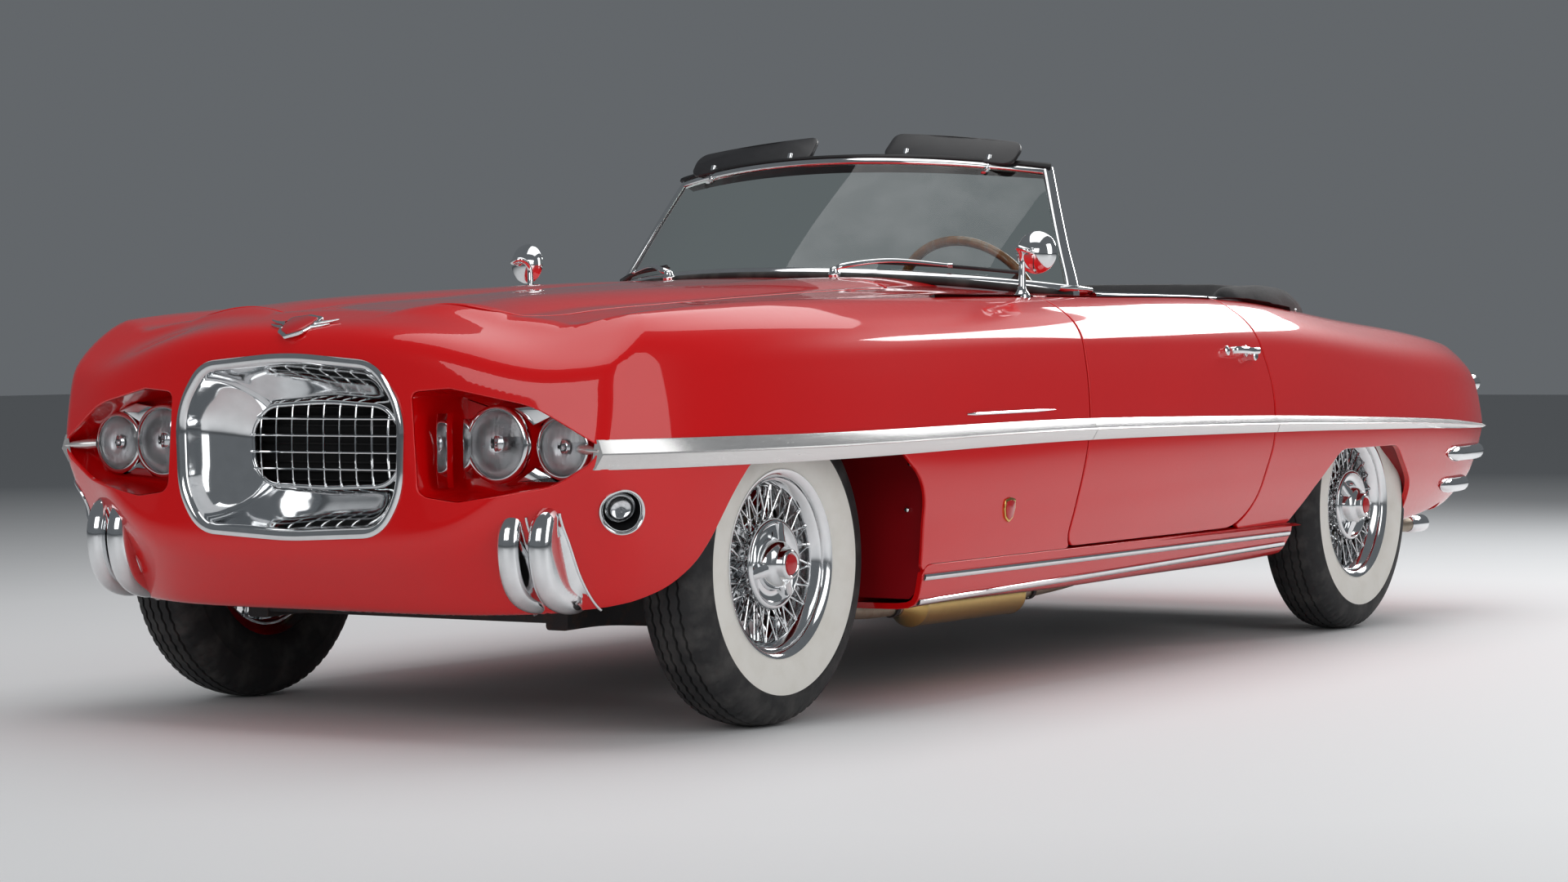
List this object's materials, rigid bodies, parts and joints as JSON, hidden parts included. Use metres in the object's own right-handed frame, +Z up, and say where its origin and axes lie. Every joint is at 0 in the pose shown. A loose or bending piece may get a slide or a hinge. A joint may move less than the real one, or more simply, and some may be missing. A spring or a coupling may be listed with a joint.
{
  "type": "two-door convertible car",
  "caption": "Low two-door touring convertible with oval grille, paired lamps in coves, wire wheels, opening doors, hood and trunk lid, and steered front wheels.",
  "frame": {"origin": "on the ground under the middle of the car's overall box", "axes": "+Z up, -Y towards the nose, +X towards the car's left side"},
  "size_m": [1.842, 4.7433, 1.364],
  "materials": {
    "body_paint": "deep gloss",
    "silver_trim": "satin silver",
    "bright_chrome": "polished",
    "wheel_chrome": "polished",
    "tyre": "matt with white sidewall",
    "seat_leather": "satin",
    "top_fabric": "matt",
    "dash_paint": "satin",
    "floor_paint": "matt",
    "chassis_paint": "satin",
    "engine_iron": "rough",
    "exhaust_steel": "heat tinted",
    "glass": "clear",
    "visor_plastic": "gloss",
    "steering_wood": "varnished",
    "column_paint": "gloss",
    "lamp_glass": "fluted clear"
  },
  "bodies": {
    "body": {"body_mouldings": "bright_chrome", "bumper_guards": "bright_chrome", "chassis_frame": "chassis_paint", "cowl_panel": "body_paint", "dashboard": "dash_paint", "engine": "engine_iron", "exhaust_system": "exhaust_steel", "fender_left": "body_paint", "fender_right": "body_paint", "firewall": "floor_paint", "floor_pan": "floor_paint", "fog_lamps": "lamp_glass", "folded_top": "top_fabric", "front_seats": "seat_leather", "front_suspension": "chassis_paint", "fuel_tank": "chassis_paint", "gearbox_and_shaft": "engine_iron", "grille_mesh": "bright_chrome", "grille_surround": "bright_chrome", "headlamps": "lamp_glass", "mirrors": "bright_chrome", "nose_panel": "body_paint", "quarter_left": "body_paint", "quarter_right": "body_paint", "radiator": "chassis_paint", "rear_axle": "chassis_paint", "rear_seat": "seat_leather", "side_strips": "silver_trim", "sills": "body_paint", "steering_column": "column_paint", "sun_visors": "visor_plastic", "tail_lamps": "bright_chrome", "tail_panel": "body_paint", "trunk_floor": "floor_paint", "windshield_frame": "bright_chrome", "windshield_glass": "glass", "wipers": "bright_chrome"},
    "door_left": {"door_left": "body_paint", "door_trim_left": "silver_trim"},
    "door_right": {"door_right": "body_paint", "door_trim_right": "silver_trim"},
    "hood": {"hood": "body_paint"},
    "trunk_lid": {"trunk_lid": "body_paint"},
    "steering_wheel": {"steering_wheel": "steering_wood"},
    "knuckle_left": {"knuckle_left": "chassis_paint"},
    "knuckle_right": {"knuckle_right": "chassis_paint"},
    "wheel_front_left": {"wheel_front_left": "wheel_chrome", "tyre_front_left": "tyre"},
    "wheel_front_right": {"wheel_front_right": "wheel_chrome", "tyre_front_right": "tyre"},
    "wheel_rear_left": {"wheel_rear_left": "wheel_chrome", "tyre_rear_left": "tyre"},
    "wheel_rear_right": {"wheel_rear_right": "wheel_chrome", "tyre_rear_right": "tyre"}
  },
  "joints": [
    {"name": "steer_left", "type": "hinge", "parent": "body", "child": "knuckle_left", "pos_m": [0.655, -1.6725, 0.353], "axis": [0, 0, 1], "range_deg": [-28, 28]},
    {"name": "steer_right", "type": "hinge", "parent": "body", "child": "knuckle_right", "pos_m": [-0.655, -1.6725, 0.353], "axis": [0, 0, 1], "range_deg": [-28, 28]},
    {"name": "steering_wheel_turn", "type": "hinge", "parent": "body", "child": "steering_wheel", "pos_m": [0.35, -0.0825, 0.902], "axis": [0, 0.9135, 0.4067], "range_deg": [-448, 448]},
    {"name": "wheel_front_left_spin", "type": "hinge", "parent": "knuckle_left", "child": "wheel_front_left", "pos_m": [0.72, -1.6725, 0.353], "axis": [1, 0, 0], "continuous": true},
    {"name": "wheel_front_right_spin", "type": "hinge", "parent": "knuckle_right", "child": "wheel_front_right", "pos_m": [-0.72, -1.6725, 0.353], "axis": [1, 0, 0], "continuous": true},
    {"name": "wheel_rear_left_spin", "type": "hinge", "parent": "body", "child": "wheel_rear_left", "pos_m": [0.72, 1.3505, 0.353], "axis": [1, 0, 0], "continuous": true},
    {"name": "wheel_rear_right_spin", "type": "hinge", "parent": "body", "child": "wheel_rear_right", "pos_m": [-0.72, 1.3505, 0.353], "axis": [1, 0, 0], "continuous": true},
    {"name": "door_left_hinge", "type": "hinge", "parent": "body", "child": "door_left", "pos_m": [0.915, -0.4455, 0.62], "axis": [0, 0, -1], "range_deg": [0, 62]},
    {"name": "door_right_hinge", "type": "hinge", "parent": "body", "child": "door_right", "pos_m": [-0.915, -0.4455, 0.62], "axis": [0, 0, 1], "range_deg": [0, 62]},
    {"name": "hood_hinge", "type": "hinge", "parent": "body", "child": "hood", "pos_m": [0, -0.6275, 1.005], "axis": [-1, 0, 0], "range_deg": [0, 48]},
    {"name": "trunk_lid_hinge", "type": "hinge", "parent": "body", "child": "trunk_lid", "pos_m": [0, 1.6575, 0.912], "axis": [1, 0, 0], "range_deg": [0, 55]}
  ],
  "couplings": [
    {"joint": "steer_right", "follows": "steer_left", "ratio": 1},
    {"joint": "steering_wheel_turn", "follows": "steer_left", "ratio": 16}
  ]
}
